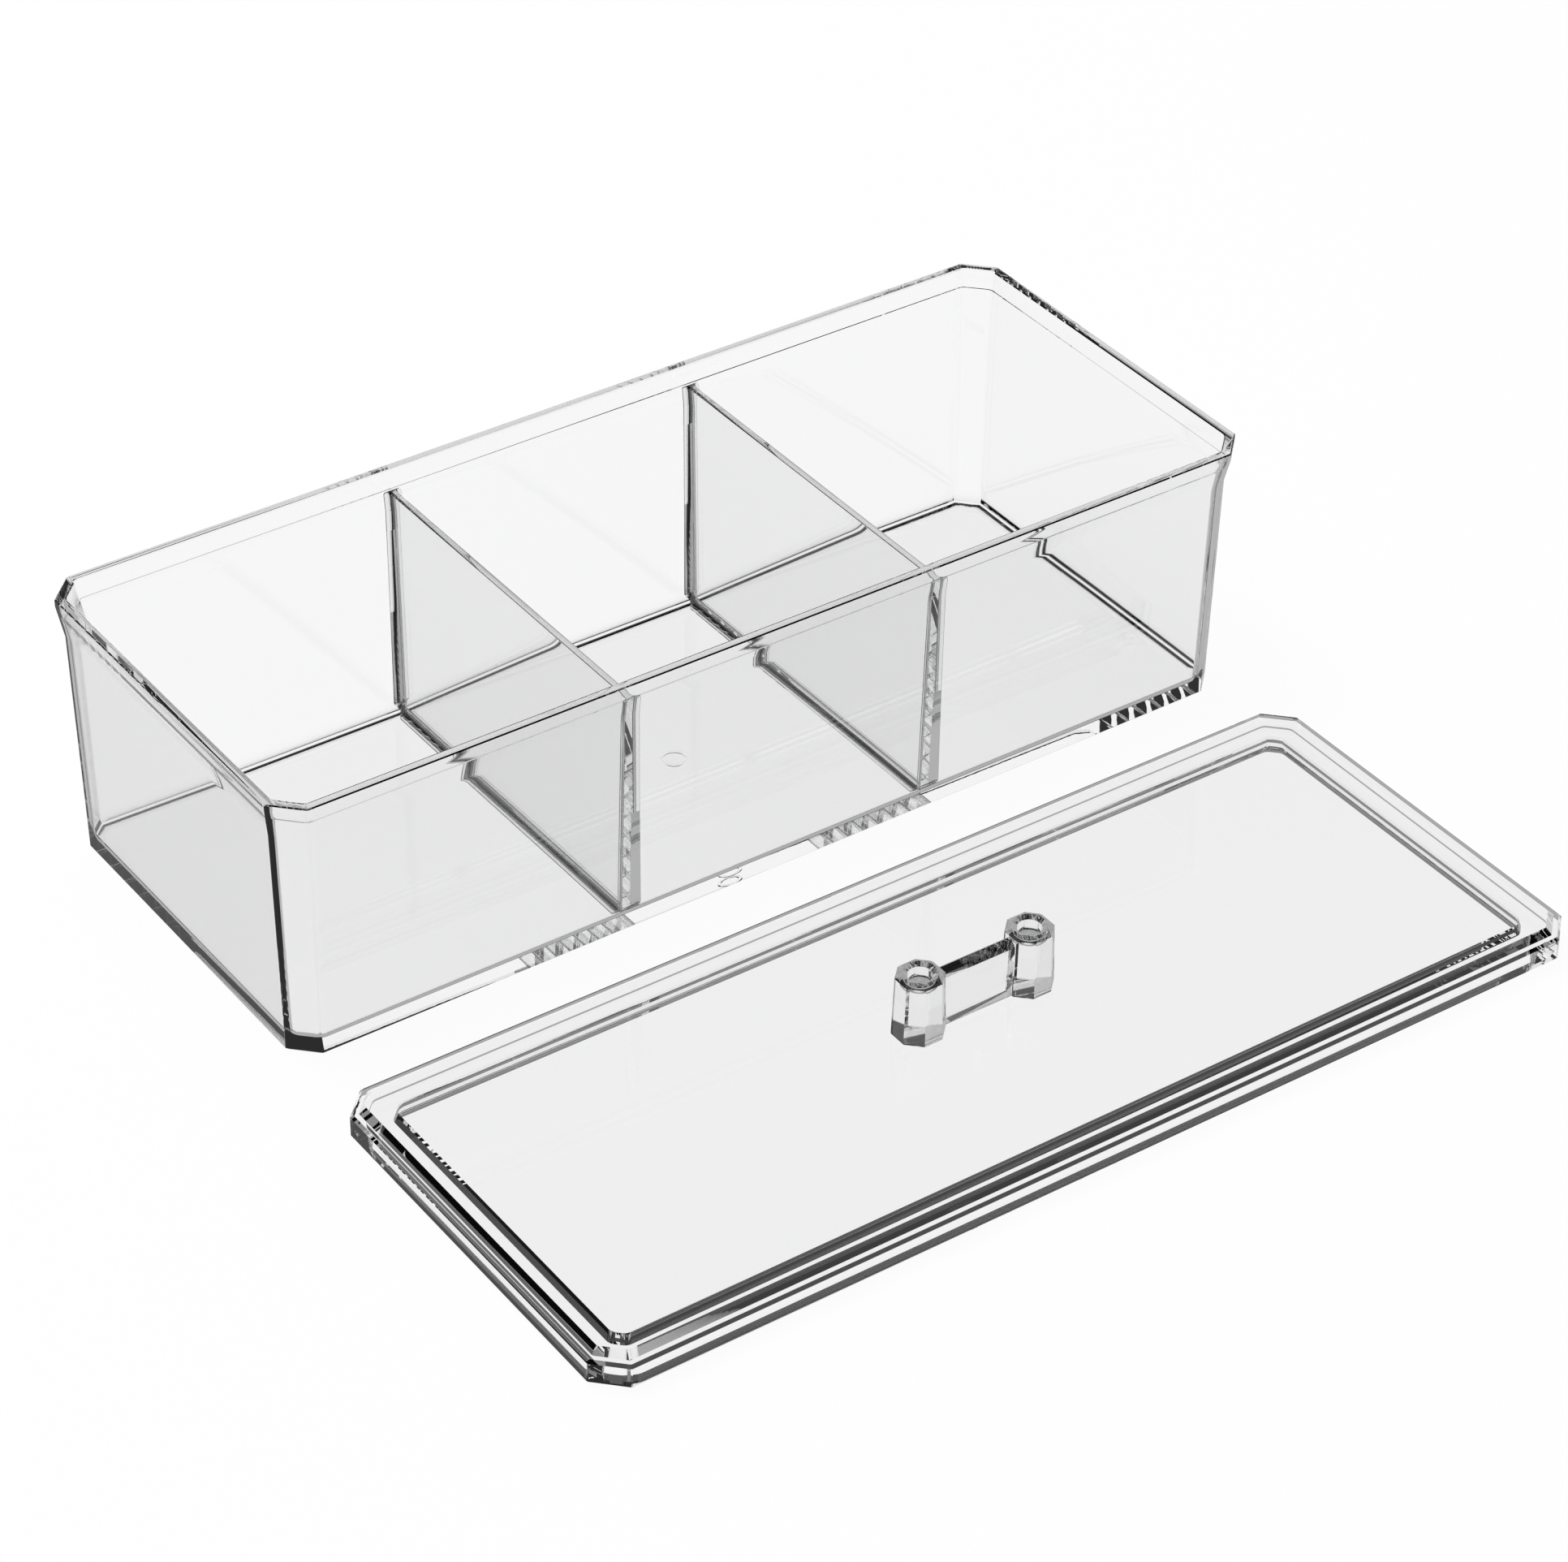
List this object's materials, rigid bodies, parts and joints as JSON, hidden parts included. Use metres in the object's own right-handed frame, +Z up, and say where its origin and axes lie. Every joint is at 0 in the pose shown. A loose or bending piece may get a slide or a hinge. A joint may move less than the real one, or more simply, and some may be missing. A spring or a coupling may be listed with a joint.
{
  "type": "tea bag organizer",
  "caption": "Clear moulded box for tea bags: an open tray with cut corners, a flared rim and upright dividers, and a stepped lift-off lid with a small post-and-web pull handle.",
  "frame": {"origin": "middle of the tray's flat underside, on the surface that the tray and its lid lie on", "axes": "+X along the tray to its right end, +Y to the back of the tray, +Z up; the lid lies in front, on the -Y side"},
  "size_m": [0.2311, 0.2025, 0.0604],
  "materials": {
    "clear_tray": "polished, clear",
    "clear_lid": "polished, clear"
  },
  "bodies": {
    "tray_body": {"tray": "clear_tray", "divider_left": "clear_tray", "divider_right": "clear_tray"},
    "lid_body": {"lid": "clear_lid", "handle": "clear_lid"}
  },
  "joints": [
    {"name": "lid_lift", "type": "slide", "parent": "tray_body", "child": "lid_body", "axis": [0, 0, 1], "range_m": [0, 0.1]}
  ]
}
